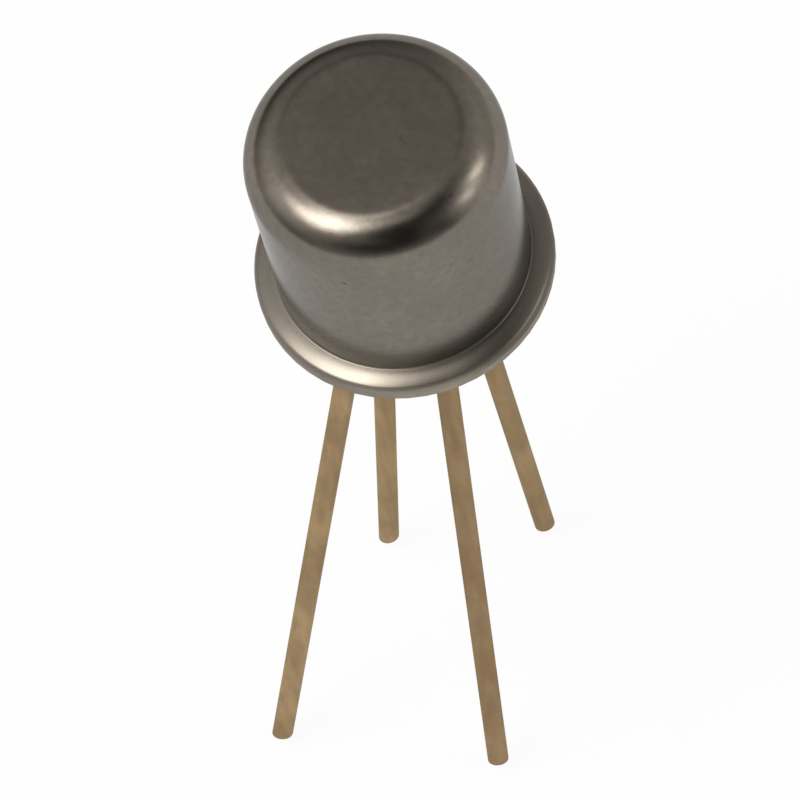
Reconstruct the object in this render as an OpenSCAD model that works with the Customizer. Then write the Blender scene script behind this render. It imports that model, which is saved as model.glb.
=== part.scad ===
// Dual-gate MOSFET in a small four-lead metal can.
//
// A drawn cap is welded to a stamped eyelet header. Glass fills the eyelet and holds four round leads
// on one circle: three pass through the glass as posts, and the fourth ends on the eyelet itself.
// Millimetres. The origin is the centre of the seating plane, which is the underside of the header's
// flange. +Z is the can's axis, towards its top, and +Y points to the header's tab.

/* [Can] */
// Outside diameter of the can's wall
can_d = 4.70; // [4.55:0.01:4.90]
// Height of the can's top above the seating plane
can_h = 4.85; // [4.35:0.05:5.30]
// Thickness of the can's sheet
can_wall = 0.20; // [0.12:0.01:0.26]
// Outside radius of the shoulder between wall and top
shoulder_r = 0.80; // [0.40:0.05:1.10]
// Radius of the hollow curve between wall and flange
flare_r = 0.12; // [0.06:0.01:0.20]
// Width of the cap's flange, from the wall's outside to its rim
flange_w = 0.355; // [0.300:0.005:0.420]
// Radius of the crown on the flange's upper face
crown_r = 0.80; // [0.60:0.05:1.20]
// Slope of that face where it meets the rim's rounding
crown_angle = 20; // [12:1:28]
// Thickness of the cap's flange at its rim
cap_rim_t = 0.12; // [0.10:0.01:0.20]
// Rounding of the rim's upper edge
rim_round = 0.05; // [0.02:0.01:0.08]
// Radius inside the cap where its wall turns into the flange
cap_foot_r = 0.28; // [0.16:0.02:0.30]

/* [Header] */
// How far the header's flange shows past the cap's
header_margin = 0.055; // [0.020:0.005:0.200]
// Thickness of the eyelet's sheet
header_t = 0.20; // [0.16:0.01:0.26]
// Rounding of the flange's upper edge
header_edge_r = 0.04; // [0.02:0.01:0.08]
// Clearance between the eyelet's raised platform and the can's bore
platform_gap = 0.13; // [0.05:0.01:0.20]
// Height of the platform's top above the seating plane
platform_h = 0.80; // [0.60:0.05:0.95]
// Rounding of the platform's upper edge
platform_edge_r = 0.15; // [0.05:0.01:0.18]
// Fillet between the platform's wall and the flange
platform_fillet_r = 0.12; // [0.04:0.01:0.12]
// Rounding of the cavity's inner corner
cavity_corner_r = 0.08; // [0.02:0.01:0.10]
// Width of the indexing tab
tab_w = 1.04; // [0.92:0.02:1.16]
// Reach of the tab past the flange
tab_len = 0.95; // [0.72:0.01:1.20]
// Rounding of the tab's corners
tab_corner_r = 0.12; // [0.04:0.01:0.20]

/* [Glass] */
// Width of the ring of glass between each insulated lead and its hole in the platform
glass_ring_w = 0.19; // [0.14:0.01:0.22]
// Depth of the glass surface above the seating plane
glass_recess = 0.10; // [0.06:0.01:0.20]
// Height of the glass collar that creeps along each lead
collar_h = 0.05; // [0.02:0.01:0.05]
// Width of that collar around the lead
collar_w = 0.08; // [0.04:0.01:0.12]

/* [Leads] */
// Diameter of the lead wire
lead_d = 0.42; // [0.36:0.01:0.48]
// Diameter of the circle that the leads stand on
lead_circle_d = 2.54; // [2.44:0.01:2.56]
// Distance from the seating plane down to the level of the lead tips
lead_len = 13.50; // [12.70:0.05:16.00]
// Rounding of the edge where each lead was cut off
tip_round = 0.12; // [0.04:0.01:0.16]
// Height of the posts above the platform
post_h = 0.45; // [0.25:0.05:0.80]
// Inside the can, bevel of each post's upper edge
post_bevel = 0.03; // [0.01:0.01:0.06]
// Distance below the seating plane at which a lead starts to lean
exit_drop = 0.40; // [0.30:0.05:0.60]
// Distance below the seating plane of the bend that splays a lead
knee_drop = 1.20; // [1.00:0.05:1.60]
// Radius of the wire's centre line in both bends
bend_r = 0.60; // [0.45:0.05:0.80]
// Lean of the drain lead between the header and its bend
drain_exit_angle = 3.6; // [0:0.1:20]
// Direction of that lean around the can's axis, from +X
drain_exit_way_angle = 11; // [0:1:360]
// Lean of the drain lead below its bend
drain_lean_angle = 6.85; // [0:0.05:30]
// Direction of that lean around the can's axis, from +X
drain_way_angle = 207.5; // [0:0.5:360]
// Lean of the second gate's lead between the header and its bend
gate_2_exit_angle = 1.6; // [0:0.1:20]
// Direction of that lean around the can's axis, from +X
gate_2_exit_way_angle = 207; // [0:1:360]
// Lean of the second gate's lead below its bend
gate_2_lean_angle = 19.45; // [0:0.05:30]
// Direction of that lean around the can's axis, from +X
gate_2_way_angle = 235.5; // [0:0.5:360]
// Lean of the first gate's lead between the header and its bend
gate_1_exit_angle = 12.1; // [0:0.1:20]
// Direction of that lean around the can's axis, from +X
gate_1_exit_way_angle = 201; // [0:1:360]
// Lean of the first gate's lead below its bend
gate_1_lean_angle = 15.35; // [0:0.05:30]
// Direction of that lean around the can's axis, from +X
gate_1_way_angle = 277; // [0:0.5:360]
// Lean of the source lead between the header and its bend
source_exit_angle = 16.5; // [0:0.1:20]
// Direction of that lean around the can's axis, from +X
source_exit_way_angle = 208; // [0:1:360]
// Lean of the source lead below its bend
source_lean_angle = 1.85; // [0:0.05:30]
// Direction of that lean around the can's axis, from +X
source_way_angle = 34.5; // [0:0.5:360]

/* [Die] */
// Width of the die
die_w = 0.50; // [0.40:0.01:0.60]
// Length of the die
die_l = 0.60; // [0.50:0.01:0.70]
// Thickness of the die
die_t = 0.15; // [0.10:0.01:0.25]
// Thickness of the preform under the die
preform_t = 0.02; // [0.01:0.005:0.04]
// Margin of the preform around the die
preform_margin = 0.05; // [0.02:0.01:0.08]
// Inset of each bond from the die's edges
bond_inset = 0.10; // [0.08:0.01:0.15]
// Diameter of the bond wire
wire_d = 0.03; // [0.02:0.005:0.05]
// Diameter of the ball where a wire meets the die
ball_d = 0.09; // [0.07:0.01:0.12]
// Diameter of the flat stitch at a wire's far end
stitch_d = 0.12; // [0.08:0.01:0.16]
// Angle at which each wire's arch leaves the line between its ends
arch_angle = 55; // [35:1:70]
// Distance of the source wire's far end from the can's axis
source_bond_r = 0.85; // [0.65:0.01:1.10]

/* [Hidden] */
$fn = 96;

// Steps in each quarter turn of a rounded profile
arc_steps = 10;
// A subtracted shape reaches this far past the face that it opens
spare = 0.5;
// A bend smaller than this is left straight
least_turn = 0.2;

can_r = can_d / 2;
can_bore_r = can_r - can_wall;
cap_rim_r = can_r + flange_w;
header_r = cap_rim_r + header_margin;
platform_r = can_bore_r - platform_gap;
cavity_r = platform_r - header_t;
cavity_h = platform_h - header_t;
lead_r = lead_d / 2;
lead_circle_r = lead_circle_d / 2;
eyelet_hole_r = lead_r + glass_ring_w;
// How far a bend reaches into the straight runs of its lead, and how much thinner it is than they are
bend_lap = lead_d / 14;
bend_hair = lead_d / 70;
post_top = platform_h + post_h;
die_top = platform_h + preform_t + die_t;

// Three arcs that touch shape the flange's outside. The rim's rounding ends at crown_angle, the crown
// goes on from there, and the flare touches both the crown and the wall. Each centre is [radius, height].
rim_centre = [cap_rim_r - rim_round, header_t + cap_rim_t - rim_round];
crown_centre = rim_centre - (crown_r - rim_round) * [sin(crown_angle), cos(crown_angle)];
flare_out = can_r + flare_r - crown_centre[0];
flare_centre = crown_centre + [flare_out, sqrt(pow(crown_r + flare_r, 2) - pow(flare_out, 2))];
flare_end = acos(flare_out / (crown_r + flare_r));

// The angle of each lead's root around the axis, from +X; the tab is at 90
drain_at = 135;
gate_2_at = 225;
gate_1_at = 315;
source_at = 45;

// Points along an arc from one angle to another
function arc(centre, r, from, to) = [
    for (i = [0:arc_steps])
        let (a = from + (to - from) * i / arc_steps)
            centre + r * [cos(a), sin(a)]
];

function unit(v) = v / norm(v);

function on_circle(r, angle) = r * [cos(angle), sin(angle)];

function root(angle) = on_circle(lead_circle_r, angle);

// The direction of a wire's run that starts at point i
function way(points, i) = unit(points[i + 1] - points[i]);

// The angle that a wire turns through at inner point i
function turn(points, i) = acos(min(1, way(points, i - 1) * way(points, i)));

// The length that the bend at point i takes from the runs on both its sides
function trim(points, i, r) =
    i == 0 || i == len(points) - 1 || turn(points, i) < least_turn ? 0 : r * tan(turn(points, i) / 2);

// Turns +Z of its children to a direction
module turned_to(dir) {
    rotate([0, acos(dir[2]), atan2(dir[1], dir[0])]) children();
}

// A round bar from z 0 to h whose start may be bevelled and whose end may be rounded
module bar(d, h, bevel = 0, tip = 0) {
    r = d / 2;
    rotate_extrude()
        polygon(concat(
            [[0, 0], [r - bevel, 0], [r, bevel]],
            tip > 0 ? arc([r - tip, h - tip], tip, 0, 90) : [[r, h]],
            [[0, h]]
        ));
}

// The bend of a wire at inner point i, as a piece of a ring. It is a hair thinner than the straight runs
// and reaches a short way into both, so that they join into one solid.
module wire_bend(points, i, d, r) {
    before = way(points, i - 1);
    after = way(points, i);
    inward = unit(after - before * (before * after));
    side = cross(-inward, before);
    centre = points[i] - before * trim(points, i, r) + inward * r;
    lap_angle = bend_lap / r * 180 / PI;
    multmatrix([
        [-inward[0], before[0], side[0], centre[0]],
        [-inward[1], before[1], side[1], centre[1]],
        [-inward[2], before[2], side[2], centre[2]],
        [0, 0, 0, 1]
    ])
        rotate([0, 0, -lap_angle])
            rotate_extrude(angle = turn(points, i) + 2 * lap_angle)
                translate([r, 0]) circle(d = d - bend_hair);
}

// A round wire through a list of points, with a bevelled start and a rounded end
module bent_wire(points, d, r, bevel, tip) {
    last = len(points) - 2;
    for (i = [0:last]) {
        dir = way(points, i);
        from = trim(points, i, r);
        span = norm(points[i + 1] - points[i]) - from - trim(points, i + 1, r);
        translate(points[i] + dir * from)
            turned_to(dir) bar(d, span, i == 0 ? bevel : 0, i == last ? tip : 0);
    }
    for (i = [1:last])
        if (turn(points, i) >= least_turn) wire_bend(points, i, d, r);
}

// The point that a wire reaches from another as it drops and leans by lean towards way
function leaning(from, drop, lean, way) = from + drop * [tan(lean) * cos(way), tan(lean) * sin(way), -1];

// How far the lowest point of a leaning lead's rounded end lies below the middle of its cut
function tip_dip(lean) = (lead_r - tip_round) * sin(lean) + tip_round * (1 - cos(lean));

// One lead, from its inner end at height top down through the glass, along its short exit and out to
// its foot. exit and splay each hold a lean and its direction.
module lead(angle, top, bevel, exit, splay) {
    at = root(angle);
    start = [at[0], at[1], -exit_drop];
    knee = leaning(start, knee_drop - exit_drop, exit[0], exit[1]);
    foot = leaning(knee, lead_len - tip_dip(splay[0]) - knee_drop, splay[0], splay[1]);
    bent_wire([[at[0], at[1], top], start, knee, foot], lead_d, bend_r, bevel, tip_round);
}

// The space under the platform, from below the seating plane up
module eyelet_cavity(bottom) {
    rotate_extrude()
        polygon(concat(
            [[0, bottom], [cavity_r, bottom]],
            arc([cavity_r - cavity_corner_r, cavity_h - cavity_corner_r], cavity_corner_r, 0, 90),
            [[0, cavity_h]]
        ));
}

// Places its children at the root of each insulated lead
module at_insulated_roots() {
    for (angle = [drain_at, gate_2_at, gate_1_at]) translate(root(angle)) children();
}

// A tapered collar of glass around a lead. Its wide end is at z 0, and its root reaches into the glass
// that it grows from.
module glass_collar() {
    r = lead_r + collar_w;
    rotate_extrude() polygon([[0, -collar_h], [r, -collar_h], [r, 0], [lead_r, collar_h], [0, collar_h]]);
}

// A bond wire that arches from its ball on one face to its stitch on another
module bond_wire(from, to) {
    lift = [0, 0, wire_d / 2];
    a = from + lift;
    b = to + lift;
    chord = unit(b - a);
    up = unit([0, 0, 1] - chord * chord[2]);
    side = cross(chord, up);
    arch_r = norm(b - a) / 2 / sin(arch_angle);
    centre = (a + b) / 2 - up * arch_r * cos(arch_angle);
    translate(from) cylinder(d = ball_d, h = wire_d);
    translate(to) cylinder(d = stitch_d, h = wire_d);
    multmatrix([
        [chord[0], up[0], side[0], centre[0]],
        [chord[1], up[1], side[1], centre[1]],
        [chord[2], up[2], side[2], centre[2]],
        [0, 0, 0, 1]
    ])
        rotate([0, 0, 90 - arch_angle])
            rotate_extrude(angle = 2 * arch_angle) translate([arch_r, 0]) circle(d = wire_d);
}

// The bond pad in the die's corner that lies towards an angle
function pad(angle) = [
    (die_w / 2 - bond_inset) * sign(cos(angle)),
    (die_l / 2 - bond_inset) * sign(sin(angle)),
    die_top
];

// The middle of a post's upper face
function post(angle) = [root(angle)[0], root(angle)[1], post_top];

module cap() {
    color("#8a8178")
        rotate_extrude()
            polygon(concat(
                [[0, can_h]],
                arc([can_r - shoulder_r, can_h - shoulder_r], shoulder_r, 90, 0),
                arc(flare_centre, flare_r, 180, 180 + flare_end),
                arc(crown_centre, crown_r, flare_end, 90 - crown_angle),
                arc(rim_centre, rim_round, 90 - crown_angle, 0),
                [[cap_rim_r, header_t]],
                arc([can_bore_r + cap_foot_r, header_t + cap_foot_r], cap_foot_r, 270, 180),
                arc(
                    [can_r - shoulder_r, can_h - shoulder_r],
                    max(shoulder_r - can_wall, can_wall / 4), 0, 90
                ),
                [[0, can_h - can_wall]]
            ));
}

module header() {
    color("#a08a5c")
        difference() {
            union() {
                rotate_extrude()
                    polygon(concat(
                        [[0, 0], [header_r, 0]],
                        arc([header_r - header_edge_r, header_t - header_edge_r], header_edge_r, 0, 90),
                        arc(
                            [platform_r + platform_fillet_r, header_t + platform_fillet_r],
                            platform_fillet_r, 270, 180
                        ),
                        arc(
                            [platform_r - platform_edge_r, platform_h - platform_edge_r],
                            platform_edge_r, 0, 90
                        ),
                        [[0, platform_h]]
                    ));
                tab();
            }
            eyelet_cavity(-spare);
            at_insulated_roots()
                translate([0, 0, cavity_h - spare]) cylinder(r = eyelet_hole_r, h = header_t + 2 * spare);
        }
}

// The tab that marks where lead 1 is; it starts well inside the flange
module tab() {
    reach = header_r + tab_len;
    linear_extrude(header_t)
        polygon(concat(
            [[tab_w / 2, platform_r + platform_fillet_r]],
            arc([tab_w / 2 - tab_corner_r, reach - tab_corner_r], tab_corner_r, 0, 90),
            arc([tab_corner_r - tab_w / 2, reach - tab_corner_r], tab_corner_r, 90, 180),
            [[-tab_w / 2, platform_r + platform_fillet_r]]
        ));
}

module glass_seal() {
    color("#4d5a56")
        difference() {
            union() {
                eyelet_cavity(glass_recess);
                at_insulated_roots() {
                    translate([0, 0, glass_recess]) cylinder(r = eyelet_hole_r, h = platform_h - glass_recess);
                    translate([0, 0, platform_h]) glass_collar();
                }
                for (angle = [drain_at, gate_2_at, gate_1_at, source_at])
                    translate([root(angle)[0], root(angle)[1], glass_recess])
                        mirror([0, 0, 1]) glass_collar();
            }
            at_insulated_roots()
                translate([0, 0, -spare]) cylinder(d = lead_d, h = post_top + 2 * spare);
            translate(root(source_at)) translate([0, 0, -spare]) cylinder(d = lead_d, h = cavity_h + spare);
        }
}

module lead_drain() {
    color("#9b8264")
        lead(
            drain_at, post_top, post_bevel,
            [drain_exit_angle, drain_exit_way_angle], [drain_lean_angle, drain_way_angle]
        );
}

module lead_gate_2() {
    color("#9b8264")
        lead(
            gate_2_at, post_top, post_bevel,
            [gate_2_exit_angle, gate_2_exit_way_angle], [gate_2_lean_angle, gate_2_way_angle]
        );
}

module lead_gate_1() {
    color("#9b8264")
        lead(
            gate_1_at, post_top, post_bevel,
            [gate_1_exit_angle, gate_1_exit_way_angle], [gate_1_lean_angle, gate_1_way_angle]
        );
}

// The source lead is butt-welded to the underside of the platform
module lead_source() {
    color("#9b8264")
        lead(
            source_at, cavity_h, 0,
            [source_exit_angle, source_exit_way_angle], [source_lean_angle, source_way_angle]
        );
}

module mosfet_die() {
    color("#50545e")
        translate([-die_w / 2, -die_l / 2, platform_h + preform_t]) cube([die_w, die_l, die_t]);
}

module die_attach() {
    w = die_w + 2 * preform_margin;
    l = die_l + 2 * preform_margin;
    color("#c9a24a") translate([-w / 2, -l / 2, platform_h]) cube([w, l, preform_t]);
}

module wire_drain() {
    color("#d9b45a") bond_wire(pad(drain_at), post(drain_at));
}

module wire_gate_2() {
    color("#d9b45a") bond_wire(pad(gate_2_at), post(gate_2_at));
}

module wire_gate_1() {
    color("#d9b45a") bond_wire(pad(gate_1_at), post(gate_1_at));
}

// The source and the substrate share the case, so this wire ends on the platform
module wire_source() {
    foot = on_circle(source_bond_r, source_at);
    color("#d9b45a") bond_wire(pad(source_at), [foot[0], foot[1], platform_h]);
}

cap();
header();
glass_seal();
lead_drain();
lead_gate_2();
lead_gate_1();
lead_source();
mosfet_die();
die_attach();
wire_drain();
wire_gate_2();
wire_gate_1();
wire_source();
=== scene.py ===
"""Finish and studio for a small four-lead metal-can transistor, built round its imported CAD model."""

import math

import bpy
import numpy as np
from mathutils import Matrix, Vector


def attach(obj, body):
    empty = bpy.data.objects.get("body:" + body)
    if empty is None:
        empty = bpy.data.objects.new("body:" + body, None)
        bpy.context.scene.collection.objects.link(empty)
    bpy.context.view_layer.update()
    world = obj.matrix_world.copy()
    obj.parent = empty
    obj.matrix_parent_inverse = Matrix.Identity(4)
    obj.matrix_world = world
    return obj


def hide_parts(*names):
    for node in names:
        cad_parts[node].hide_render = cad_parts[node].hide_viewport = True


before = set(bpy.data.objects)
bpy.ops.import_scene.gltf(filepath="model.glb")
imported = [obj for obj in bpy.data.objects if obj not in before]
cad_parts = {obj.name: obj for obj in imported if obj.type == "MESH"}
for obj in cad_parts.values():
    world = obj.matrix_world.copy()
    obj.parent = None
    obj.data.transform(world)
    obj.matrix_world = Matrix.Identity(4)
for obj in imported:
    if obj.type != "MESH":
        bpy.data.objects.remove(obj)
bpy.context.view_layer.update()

MM = 0.001
# Points around the can and around a lead
AROUND, LEAD_AROUND = 256, 48

# Sizes of the can, the header and the leads in millimetres, the same as the CAD model's
CAN_R, CAN_H, CAN_WALL, SHOULDER_R, FOOT_R = 2.35, 4.85, 0.20, 0.80, 0.28
HEADER_R, HEADER_T, HEADER_EDGE_R, PLATFORM_H = 2.76, 0.20, 0.04, 0.80
RIM_T = 0.12
LEAD_R, LEAD_CIRCLE_R, LEAD_LEN, TIP_ROUND = 0.21, 1.27, 13.50, 0.12
POST_H, POST_BEVEL = 0.45, 0.03
EXIT_DROP, KNEE_DROP, BEND_R = 0.40, 1.20, 0.60
# The flange's own sizes, a little apart from the CAD model's: the radius of the hollow beside the
# wall, the rim's radius and rounding, and the flange's slope in degrees beside the wall and at the
# rim. The weld has pressed it down over the header's edge, so the two read as one rounded lip.
FLARE_R, RIM_R, RIM_ROUND = 0.03, 2.757, 0.145
FLANGE_SLOPES = 6, 23
# Each lead: the angle of its root, its lean and direction at the exit, and its lean and direction
# below the bend, all in degrees
LEADS = {
    "lead_drain": (135, 3.6, 11, 6.85, 207.5),
    "lead_gate_2": (225, 1.6, 207, 19.45, 235.5),
    "lead_gate_1": (315, 12.1, 201, 15.35, 277),
    "lead_source": (45, 16.5, 208, 1.85, 34.5),
}


# ---------------------------------------------------------------- surfaces

def arc(centre, radius, start, end, steps):
    """Points of a circle's arc: centre + radius (cos a, sin a), with a from start to end in degrees."""
    a = np.radians(np.linspace(start, end, steps + 1))
    return np.array(centre, float) + radius * np.stack([np.cos(a), np.sin(a)], 1)


def run(points, spacing):
    """A polyline with each long stretch cut into equal steps no longer than spacing."""
    made = [points[:1]]
    for a, b in zip(points[:-1], points[1:]):
        n = max(1, int(np.ceil(np.linalg.norm(b - a) / spacing)))
        made.append(a + (b - a) * (np.arange(1, n + 1) / n)[:, None])
    return np.concatenate(made)


def skin(name, rows, material, closed=True):
    """A mesh over a grid of points, rows by columns, whose columns close into rings. The first row is a
    single point, and so is the last if closed says so. All faces point outwards for rings that turn
    anticlockwise as seen from the first row's end of the path."""
    body = rows[1:-1] if closed else rows[1:]
    n, around = body.shape[:2]
    i = (np.arange(n - 1) * around)[:, None]
    j, k = np.arange(around), (np.arange(around) + 1) % around
    quads = np.stack([i + j, i + around + j, i + around + k, i + k], -1).reshape(-1, 4)
    verts = [body.reshape(-1, 3), rows[:1, 0]]
    tris = [np.stack([np.full(around, n * around), j, k], -1)]
    if closed:
        last = (n - 1) * around
        verts.append(rows[-1:, 0])
        tris.append(np.stack([np.full(around, n * around + 1), last + k, last + j], -1))
    tris = np.concatenate(tris)
    loops = np.concatenate([quads.ravel(), tris.ravel()])
    starts = np.concatenate([np.arange(len(quads)) * 4, len(quads) * 4 + np.arange(len(tris)) * 3])
    totals = np.concatenate([np.full(len(quads), 4), np.full(len(tris), 3)])
    return put_mesh(name, np.concatenate(verts) * MM, loops, starts, totals, material)


def put_mesh(name, verts, loops, starts, totals, material):
    """An object at the origin from whole arrays of vertices and faces, shaded smooth."""
    mesh = bpy.data.meshes.new(name)
    mesh.vertices.add(len(verts))
    mesh.vertices.foreach_set("co", verts.astype(np.float32).ravel())
    mesh.loops.add(len(loops))
    mesh.loops.foreach_set("vertex_index", loops.astype(np.int32))
    mesh.polygons.add(len(starts))
    mesh.polygons.foreach_set("loop_start", starts.astype(np.int32))
    mesh.polygons.foreach_set("loop_total", totals.astype(np.int32))
    mesh.polygons.foreach_set("use_smooth", np.ones(len(starts), bool))
    mesh.update(calc_edges=True)
    mesh.validate()
    obj = bpy.data.objects.new(name, mesh)
    bpy.context.scene.collection.objects.link(obj)
    obj.data.materials.append(material)
    return obj


def lathe(name, profile, material, closed=True):
    """A profile (radius, height) turned about the Z axis: (r cos a, r sin a, z), with a over a full
    turn."""
    a = np.linspace(0, 2 * np.pi, AROUND, endpoint=False)
    r, z = profile[:, :1], profile[:, 1:]
    return skin(name, np.stack([r * np.cos(a), r * np.sin(a), z + 0 * a], -1), material, closed)


def leaning(start, drop, lean, way):
    """The point reached from start after a drop along a line that leans by lean towards way."""
    t, w = math.tan(math.radians(lean)), math.radians(way)
    return start + drop * np.array([t * math.cos(w), t * math.sin(w), -1])


# A corner that turns by less than this, in radians, needs no arc
STRAIGHT = 0.004


def bent(points, radius, spacing):
    """A path through points whose inner corners are arcs of the given radius, cut into short steps."""
    made = [points[0]]
    for before, at, after in zip(points[:-2], points[1:-1], points[2:]):
        a = (at - before) / np.linalg.norm(at - before)
        b = (after - at) / np.linalg.norm(after - at)
        turn = math.acos(min(1, a @ b))
        if turn < STRAIGHT:
            made.append(at)
            continue
        inward = (b - a * (a @ b)) / np.linalg.norm(b - a * (a @ b))
        centre = at - a * radius * math.tan(turn / 2) + inward * radius
        t = np.linspace(0, turn, 9)[:, None]
        made.extend(centre - inward * radius * np.cos(t) + a * radius * np.sin(t))
    made.append(points[-1])
    return run(np.array(made), spacing)


def tube(name, path, radii, material, cut):
    """A round profile carried along a path: centre + radius (cos t u + sin t v), with u and v square to
    the path's direction. Its two ends close in a point. cut moves the rings' points near the end."""
    step = np.gradient(path, axis=0)
    d = step / np.linalg.norm(step, axis=1)[:, None]
    u = np.cross(d, [0.0, 1.0, 0.0])
    u /= np.linalg.norm(u, axis=1)[:, None]
    v = np.cross(d, u)
    t = np.linspace(0, 2 * np.pi, LEAD_AROUND, endpoint=False)[None, :, None]
    rows = path[:, None] + radii[:, None, None] * (np.cos(t) * u[:, None] + np.sin(t) * v[:, None])
    return skin(name, cut(rows, path, d)[::-1], material)


# ---------------------------------------------------------------- materials

class Value:
    """A socket in an expression; its operators add Math nodes to the same tree."""

    def __init__(self, tree, socket):
        self.tree, self.socket = tree, socket

    def math(self, operation, *others, clamp=False):
        return self.tree.node("ShaderNodeMath", {"operation": operation, "use_clamp": clamp},
                              dict(enumerate((self,) + others)))

    def __add__(self, other):
        return self.math("ADD", other)

    def __sub__(self, other):
        return self.math("SUBTRACT", other)

    def __rsub__(self, other):
        return self.tree.node("ShaderNodeMath", {"operation": "SUBTRACT"}, {0: other, 1: self})

    def __mul__(self, other):
        return self.math("MULTIPLY", other)

    def __truediv__(self, other):
        return self.math("DIVIDE", other)

    def clamped(self):
        return self.math("ADD", 0.0, clamp=True)

    def ramp(self, low, high):
        """0 up to low, 1 from high, and a smooth step between."""
        return self.tree.node("ShaderNodeMapRange", {"interpolation_type": "SMOOTHSTEP"},
                              {"Value": self, "From Min": low, "From Max": high})

    __radd__, __rmul__ = __add__, __mul__


class Tree:
    """The nodes of one material or world."""

    def __init__(self, owner):
        owner.use_nodes = True
        self.tree = owner.node_tree
        self.tree.nodes.clear()

    def node(self, kind, settings=None, sockets=None, out=0):
        """Adds a node, sets its settings, then gives its sockets their values or links. Returns one of
        its outputs."""
        n = self.tree.nodes.new(kind)
        for key, value in (settings or {}).items():
            setattr(n, key, value)
        for key, value in (sockets or {}).items():
            if isinstance(value, Value):
                self.tree.links.new(value.socket, n.inputs[key])
            else:
                n.inputs[key].default_value = value
        return Value(self, n.outputs[out]) if len(n.outputs) else n

    def noise(self, where, scale, detail=3.0, roughness=0.5, stretch=None):
        """Fractal noise from 0 to 1 at scale cycles a metre; stretch scales the axes apart."""
        if stretch is not None:
            where = self.node("ShaderNodeMapping", None, {"Vector": where, "Scale": stretch})
        return self.node("ShaderNodeTexNoise", None,
                         {"Vector": where, "Scale": scale, "Detail": detail, "Roughness": roughness})

    def blend(self, factor, low, high):
        """A colour between low and high."""
        return self.node("ShaderNodeMix", {"data_type": "RGBA"}, {0: factor, 6: low, 7: high}, out=2)


# The depth of the finishes' relief, in metres
GRAIN_DEPTH = 0.00002


def finish(name, build, **constants):
    """A material from build(tree, place), which returns the surface's varying sockets. place is a point
    on the piece in metres, and so are the heights and widths that the finishes compare."""
    material = bpy.data.materials.new(name)
    tree = Tree(material)
    place = tree.node("ShaderNodeTexCoord", out="Object")
    shader = tree.node("ShaderNodeBsdfPrincipled", None, {**constants, **build(tree, place)})
    tree.node("ShaderNodeOutputMaterial", None, {"Surface": shader})
    return material


def colour(r, g, b):
    """A linear colour with its alpha."""
    return (r, g, b, 1.0)


def bump(t, strength, height):
    """A normal tipped by a relief of height, GRAIN_DEPTH deep at full strength."""
    return t.node("ShaderNodeBump", None,
                  {"Strength": strength, "Distance": GRAIN_DEPTH, "Height": height})


# The direction, square to the can's axis, towards which the flange and the wall's foot are painted
# darker, as painted shade
SHADE_PAINTED_SIDE = (0.996, 0.087, 0)


def can_finish(t, place):
    """Dull nickel on a drawn can: a satin surface with soft cloudy staining, a fine pebbled grain that
    barely shows, and a few dark specks.
    One side of the wall is painted paler, as painted light. The weld has left the flange and the wall's
    foot duller, and the rim dullest of all. The flange is painted paler at its front, between the two
    sides, as a painted highlight, and the flange and the wall's foot are painted darker on the other
    side, as painted shade and a painted shadow in the crease."""
    cloud = t.noise(place, 650, 4.0, 0.55)
    grain = t.noise(place, 6500, 3.0, 0.6)
    specks = t.noise(place, 2600, 2.0, 0.5).ramp(0.735, 0.80)
    height = t.node("ShaderNodeSeparateXYZ", None, {"Vector": place}, out="Z")
    side = t.node("ShaderNodeVectorMath", {"operation": "DOT_PRODUCT"},
                  {0: place, 1: SHADE_PAINTED_SIDE}, out="Value") + (cloud - 0.5) * 0.0012
    # Painted shade: 1 on the side where the flange is painted darker
    flange_painted_shade = side.ramp(0.0011, 0.0024)
    # Painted light: 1 on the side where the wall is painted paler
    pale = (1 - side.ramp(-0.0015, 0.0001)) * (1 - height.ramp(0.0036, 0.0044))
    weld = 1 - height.ramp(0.0003, 0.0014)
    foot = height.ramp(0.00036, 0.00042) * (1 - height.ramp(0.0006, 0.0015))
    rim = 1 - height.ramp(0.00026, 0.00031)
    base = t.blend(cloud.ramp(0.30, 0.72), colour(0.196, 0.174, 0.147), colour(0.236, 0.210, 0.178))
    # Painted light: the wall is painted paler on one side
    base = t.blend(pale * 0.9, base, colour(0.262, 0.235, 0.202))
    base = t.blend((grain - 0.5) * 1.4 + 0.27, base, colour(0.152, 0.135, 0.115))
    base = t.blend(specks * 0.8, base, colour(0.06, 0.05, 0.04))
    # The flange's colour: painted paler away from the pale side, as a painted highlight
    weld_tone_with_painted_highlight = t.blend(pale, colour(0.325, 0.291, 0.245), colour(0.222, 0.199, 0.168))
    # Painted shade: the flange is painted darker on the shaded side
    base = t.blend(weld * 0.85, base, t.blend(flange_painted_shade, weld_tone_with_painted_highlight, colour(0.143, 0.127, 0.108)))
    # Painted shadow: the wall's foot is darkened in the crease on the shaded side
    base = t.blend(foot * side.ramp(0.0003, 0.0013) * 0.65, base, colour(0.105, 0.093, 0.078))
    rough = (0.19 + 0.05 * t.noise(place, 1700, 4.0, 0.6) + 0.15 * specks + 0.05 * weld + 0.06 * foot
             + 0.20 * rim)
    clean = 1 - side.ramp(-0.0006, 0.0010)
    return {"Base Color": base, "Roughness": rough,
            "Metallic": 1 - 0.24 * weld - 0.22 * foot * clean - 0.15 * rim,
            "Normal": bump(t, 0.06, 0.5 * grain + t.noise(place, 1900, 2.0))}


def plating_finish(t, place):
    """Dull plating on the header, between grey and tan."""
    cloud = t.noise(place, 900, 4.0, 0.6)
    base = t.blend(cloud.ramp(0.30, 0.70), colour(0.25, 0.222, 0.180), colour(0.35, 0.312, 0.252))
    rough = 0.34 + 0.14 * t.noise(place, 2400, 3.0)
    return {"Base Color": base, "Roughness": rough, "Normal": bump(t, 0.12, t.noise(place, 7000, 3.0))}


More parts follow.
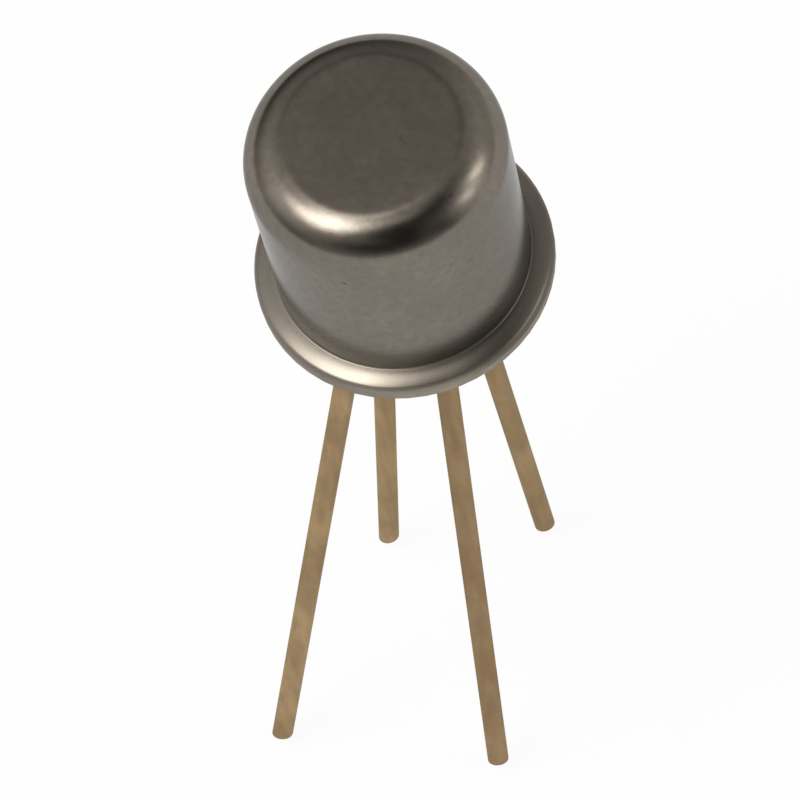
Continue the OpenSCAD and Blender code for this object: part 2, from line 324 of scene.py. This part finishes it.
def lead_finish(t, place, shade_paint=0.0):
    """Matte worn gold on a drawn wire: mottled, with long fine draw lines and reddish streaks where the
    plating is thin. The last argument browns it all over, more in patches, as painted shade."""
    cloud = t.noise(place, 700, 4.0, 0.6)
    lines = t.noise(place, 5200, 2.0, 0.5, stretch=(1.0, 1.0, 0.05))
    thin = t.noise(place, 1500, 3.0, 0.55, stretch=(1.0, 1.0, 0.3)).ramp(0.50, 0.68)
    base = t.blend(cloud.ramp(0.30, 0.72), colour(0.35, 0.245, 0.135), colour(0.51, 0.36, 0.208))
    base = t.blend(thin * 0.55, base, colour(0.34, 0.205, 0.118))
    base = t.blend((lines - 0.5) * 1.2 + 0.15, base, colour(0.25, 0.175, 0.10))
    # Painted shade: a patchy brown over the whole wire
    base = t.blend(shade_paint * (0.6 + t.noise(place, 420, 2.0)), base, colour(0.20, 0.118, 0.072))
    rough = 0.42 + 0.18 * cloud
    height = 0.7 * lines + 0.5 * t.noise(place, 8000, 3.0)
    return {"Base Color": base, "Roughness": rough, "Normal": bump(t, 0.25, height)}


def glass_finish(t, place):
    """Dark sealing glass with faint cloudy streaks."""
    cloud = t.noise(place, 1600, 3.0)
    base = t.blend(cloud, colour(0.045, 0.060, 0.058), colour(0.085, 0.105, 0.098))
    return {"Base Color": base, "Roughness": 0.08 + 0.12 * cloud}


def silicon_finish(t, place):
    """A diced chip: dark polished silicon."""
    cloud = t.noise(place, 9000, 2.0)
    base = t.blend(cloud, colour(0.10, 0.11, 0.15), colour(0.16, 0.17, 0.22))
    return {"Base Color": base, "Roughness": 0.18 + 0.10 * cloud}


def bright_gold(t, place):
    """Soft gold of the preform and the bond wires."""
    cloud = t.noise(place, 6000, 3.0)
    base = t.blend(cloud, colour(0.70, 0.50, 0.20), colour(0.86, 0.66, 0.32))
    return {"Base Color": base, "Roughness": 0.24 + 0.14 * cloud}


# What the metals reflect at a grazing angle: duller than polished metal, which would be white there
DULL_EDGE = {"Specular Tint": colour(0.62, 0.62, 0.62)}
DULL_GOLD_EDGE = {"Specular Tint": colour(0.62, 0.64, 0.56)}
CAN = finish("can_nickel", can_finish, **DULL_EDGE)
PLATING = finish("header_plating", plating_finish, Metallic=1.0, **DULL_EDGE)
LEAD_GOLD = finish("lead_gold", lead_finish, Metallic=1.0, **DULL_GOLD_EDGE)
# A darker copy of the lead finish, as painted shade
LEAD_GOLD_SHADED = finish("lead_gold_shade_painted", lambda t, place: lead_finish(t, place, 0.2),
                        Metallic=1.0, **DULL_GOLD_EDGE)
GLASS = finish("seal_glass", glass_finish, IOR=1.50)
SILICON = finish("silicon", silicon_finish, Metallic=0.6)
WIRE_GOLD = finish("wire_gold", bright_gold, Metallic=1.0)


# ---------------------------------------------------------------- pieces

def can_profile():
    """The cap's section as a line from the middle of its top, down the outside, under the rim
    and back up inside. The flange's slope grows evenly with its radius, so its height is the rim's
    plus the sum of tan(slope) from the rim inwards, and the flare's arc meets it at its first slope.
    The rim's lower edge follows the header's rounded one."""
    rim = np.array([RIM_R - RIM_ROUND, HEADER_T + RIM_T - RIM_ROUND])
    edge = arc(rim, RIM_ROUND, 90 - FLANGE_SLOPES[1], 0, 10)
    slope = np.radians(np.linspace(*FLANGE_SLOPES, 13))
    r = np.linspace(CAN_R + FLARE_R * (1 - np.sin(slope[0])), edge[0, 0], 13)
    fall = np.tan((slope[1:] + slope[:-1]) / 2) * np.diff(r)
    z = edge[0, 1] + np.append(np.cumsum(fall[::-1])[::-1], 0)
    flare = (CAN_R + FLARE_R, z[0] + FLARE_R * np.cos(slope[0]))
    bore = CAN_R - CAN_WALL
    outside = np.concatenate([
        [[0, CAN_H]],
        arc((CAN_R - SHOULDER_R, CAN_H - SHOULDER_R), SHOULDER_R, 90, 0, 36),
        arc(flare, FLARE_R, 180, 270 - FLANGE_SLOPES[0], 14),
        np.stack([r, z], 1)[1:-1],
        edge,
        arc((HEADER_R - HEADER_EDGE_R, HEADER_T - HEADER_EDGE_R), HEADER_EDGE_R, 22, 90, 6),
    ])
    inside = np.concatenate([
        arc((bore + FOOT_R, HEADER_T + FOOT_R), FOOT_R, 270, 180, 8),
        arc((CAN_R - SHOULDER_R, CAN_H - SHOULDER_R), SHOULDER_R - CAN_WALL, 0, 90, 12),
        [[0, CAN_H - CAN_WALL]],
    ])
    return np.concatenate([run(outside, spacing=0.08), run(inside, spacing=0.4)])


can = lathe("can_shell", can_profile(), CAN)
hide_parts("cap")
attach(can, "root")


def lead_path(root, exit_lean, exit_way, lean, way, top):
    """The centre line of one lead, from its inner end down to the middle of its cut end. The lowest
    point of the end's rounded edge lies at -LEAD_LEN."""
    a, tilt = math.radians(root), math.radians(lean)
    at = np.array([LEAD_CIRCLE_R * math.cos(a), LEAD_CIRCLE_R * math.sin(a), -EXIT_DROP])
    knee = leaning(at, KNEE_DROP - EXIT_DROP, exit_lean, exit_way)
    dip = (LEAD_R - TIP_ROUND) * math.sin(tilt) + TIP_ROUND * (1 - math.cos(tilt))
    foot = leaning(knee, LEAD_LEN - dip - KNEE_DROP, lean, way)
    return bent([np.array([at[0], at[1], top]), at, knee, foot], BEND_R, spacing=0.15)


# How the cutters left each lead's foot: the slant of its cut and the side that it faces, in degrees,
# how far up the wire the slant is spread in millimetres, and the gain that brings it to its full size
# a little before the end
CUTS = {
    "lead_drain": (25, 318), "lead_gate_2": (25, 296), "lead_gate_1": (25, 290), "lead_source": (28, 300),
}
CUT_SPREAD, CUT_GAIN = 0.5, 1.3
# The leads that get the darker copy of the lead finish, as painted shade
SHADED_LEADS = "lead_gate_1", "lead_source"
# The steps along a wire between its rings, in millimetres: on its straight part, and between rings
# that lie on one flat face; and the number of rings round the edge of its foot
LEAD_STEP, HAIR, TIP_RINGS = 0.12, 0.0001, 10


def slanted(slant, way):
    """Cuts a wire's foot at a slant: a point moves up the wire by w * tan(slant) * (its distance from
    the axis towards way + the wire's radius), where w grows smoothly from 0 to 1 over CUT_SPREAD."""
    def cut(rows, path, d):
        flat = np.array([math.cos(math.radians(way)), math.sin(math.radians(way)), 0.0])
        square = flat - (d @ flat)[:, None] * d
        square /= np.linalg.norm(square, axis=1)[:, None]
        w = np.clip(1 - np.linalg.norm(path - path[-1], axis=1) / CUT_SPREAD, 0, 1)
        w = np.minimum(1, CUT_GAIN * w * w * (3 - 2 * w))
        reach = ((rows - path[:, None]) * square[:, None]).sum(-1) + LEAD_R
        return rows - (w[:, None] * math.tan(math.radians(slant)) * reach)[..., None] * d[:, None]
    return cut


def make_lead(name):
    """A round wire with a bevelled inner end and a slanted foot with a rounded edge."""
    top = PLATFORM_H - HEADER_T if name == "lead_source" else PLATFORM_H + POST_H
    path = lead_path(*LEADS[name], top)
    gone = np.concatenate([[0], np.cumsum(np.linalg.norm(np.diff(path, axis=0), axis=1))])
    total = gone[-1]
    turn = np.radians(np.linspace(0, 90, TIP_RINGS))
    s = np.concatenate([[0, HAIR], np.arange(POST_BEVEL, total - TIP_ROUND - LEAD_STEP / 2, LEAD_STEP),
                        total - TIP_ROUND * (1 - np.sin(turn)), [total + HAIR, total + 2 * HAIR]])
    radii = np.concatenate([[0, LEAD_R - POST_BEVEL], np.full(len(s) - len(turn) - 4, LEAD_R),
                            LEAD_R - TIP_ROUND * (1 - np.cos(turn)), [(LEAD_R - TIP_ROUND) / 2, 0]])
    line = np.stack([np.interp(s, gone, path[:, i]) for i in range(3)], 1)
    end = path[-1] - path[-2]
    line += np.maximum(s - total, 0)[:, None] * end / np.linalg.norm(end)
    material = LEAD_GOLD_SHADED if name in SHADED_LEADS else LEAD_GOLD
    obj = tube(name + "_wire", line, radii, material, cut=slanted(*CUTS[name]))
    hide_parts(name)
    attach(obj, "root")


for lead in LEADS:
    make_lead(lead)

# The CAD model's own pieces that only get a finish
for material, nodes in (
    (PLATING, ["header"]),
    (GLASS, ["glass_seal"]),
    (SILICON, ["mosfet_die"]),
    (WIRE_GOLD, ["die_attach", "wire_drain", "wire_gate_2", "wire_gate_1", "wire_source"]),
):
    for node in nodes:
        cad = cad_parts[node]
        cad.data.materials.clear()
        cad.data.materials.append(material)


# ---------------------------------------------------------------- studio

# The radii of the floor's middle and of its edge, in millimetres, and how much of its white is glow
FLOOR_MIDDLE_R, FLOOR_R, FLOOR_GLOW = 30, 3000, 0.94


def make_floor():
    """A pale disc under the tips. It looks white, and shows a faint shadow."""
    material = bpy.data.materials.new("floor_white")
    t = Tree(material)
    seen = sum((t.node("ShaderNodeLightPath", out=kind) for kind in
                ("Is Camera Ray", "Is Glossy Ray", "Is Transmission Ray")), start=0.0).clamped()
    paint = t.node("ShaderNodeBsdfDiffuse", None, {"Color": colour(0.9, 0.9, 0.9)})
    glow = t.node("ShaderNodeEmission", None, {"Color": colour(1, 1, 1), "Strength": 1.0})
    t.node("ShaderNodeOutputMaterial", None,
           {"Surface": t.node("ShaderNodeMixShader", None, {0: seen * FLOOR_GLOW, 1: paint, 2: glow})})
    profile = np.array([[r, -LEAD_LEN] for r in (0, FLOOR_MIDDLE_R, FLOOR_R)], float)
    floor = lathe("studio_floor", profile, material, closed=False)


# The room as soft ellipses of light in the sky: azimuth, elevation, half width sideways, half width
# upwards, all in degrees, and strength; a negative strength is a dark part of the room. ROOM_LEVEL is
# the room's own light, and ROOM_LEAST the least that is left anywhere.
ROOM_LEVEL, ROOM_LEAST = 0.66, 0.03
ROOM = (
    (211, 62.5, 23, 26.5, 7.8),   # the window
    (171, 73.5, 26.5, 8.5, 5.0),  # its far edge
    (19, 35, 8, 19, 3.6),         # two small lamps
    (-1.5, 29, 8.5, 18.5, 2.3),
    (3, 34, 38, 55, 1.9),         # the wall that they light
    (294, 53, 108, 61, -2.9),     # the dark side where the camera stands
    (270, 50, 86, 46.5, 2.3),     # the near wall, lighter than that
    (296, 86, 16, 16, 0.6),       # a pale patch overhead
    (128, 2, 79, 103, -0.64),     # the dark far side
    (114, 60, 23, 22, -0.25),     # the ceiling
    (-39, 66, 20, 71, 0.62),
    (247, 11.5, 47, 21.5, 0.29),
    (179, 39, 80, 34, 0.45),
)


def soft_spot(t, way, azimuth, elevation, across, up):
    """1 in the middle of an ellipse in the sky and 0 outside it: a smooth step of
    1 - sqrt((x / across)^2 + (y / up)^2), where x and y are the angles sideways and upwards."""
    a, e = math.radians(azimuth), math.radians(elevation)
    middle = Vector((math.cos(a) * math.cos(e), math.sin(a) * math.cos(e), math.sin(e)))
    side = Vector((-math.sin(a), math.cos(a), 0))
    along, x, y = (t.node("ShaderNodeVectorMath", {"operation": "DOT_PRODUCT"},
                          {0: way, 1: tuple(axis)}, out="Value")
                   for axis in (middle, side, middle.cross(side)))
    turn = along.math("ARCCOSINE")
    flat = (x * x + y * y).math("MAXIMUM", 1e-6)
    shape = x * x / math.radians(across) ** 2 + y * y / math.radians(up) ** 2
    return (1 - (turn * turn / flat * shape).math("SQRT")).ramp(0.0, 1.0)


def make_world():
    """A dim room with a soft window and a few small lamps. The camera itself sees plain white."""
    world = bpy.data.worlds.new("room")
    bpy.context.scene.world = world
    t = Tree(world)
    way = t.node("ShaderNodeTexCoord", out="Generated")
    level = ROOM_LEVEL
    for *place, strength in ROOM:
        level = soft_spot(t, way, *place) * strength + level
    room = t.node("ShaderNodeBackground", None,
                  {"Color": colour(1.02, 1.0, 0.965), "Strength": level.math("MAXIMUM", ROOM_LEAST)})
    plain = t.node("ShaderNodeBackground", None, {"Color": colour(1, 1, 1), "Strength": 1.0})
    camera = t.node("ShaderNodeLightPath", out="Is Camera Ray")
    t.node("ShaderNodeOutputWorld", None,
           {"Surface": t.node("ShaderNodeMixShader", None, {0: camera, 1: room, 2: plain})})


# Where the camera stands: its turn about the can's axis, its elevation and its roll in degrees, its
# distance from a point on the axis and that point's height in millimetres, and how far its aim is off
# that point, sideways and upwards, in radians
CAMERA_TURN, CAMERA_UP, CAMERA_ROLL = 26.0, 60.645, -15.34
CAMERA_AWAY, CAMERA_POINT_Z = 90.01, 2.5
CAMERA_AIM = 0.0082, -0.0392
LENS, SENSOR = 227.5, 36.0


def make_camera():
    """A long lens above and in front of the can, tilted a little."""
    data = bpy.data.cameras.new("camera")
    data.lens, data.sensor_width = LENS, SENSOR
    data.clip_start, data.clip_end = 0.005, 20.0
    camera = bpy.data.objects.new("camera", data)
    bpy.context.scene.collection.objects.link(camera)
    turn = (Matrix.Rotation(math.radians(CAMERA_TURN), 4, "Z")
            @ Matrix.Rotation(math.radians(90 - CAMERA_UP), 4, "X"))
    aim = Matrix.Rotation(CAMERA_AIM[0], 4, "Y") @ Matrix.Rotation(CAMERA_AIM[1], 4, "X")
    roll = Matrix.Rotation(math.radians(CAMERA_ROLL), 4, "Z")
    back = turn.to_3x3() @ Vector((0, 0, 1))
    place = back * CAMERA_AWAY * MM + Vector((0, 0, CAMERA_POINT_Z * MM))
    camera.matrix_world = Matrix.Translation(place) @ turn @ aim @ roll
    bpy.context.scene.camera = camera


make_floor()
make_world()
make_camera()
bpy.context.scene.view_settings.view_transform = "Standard"
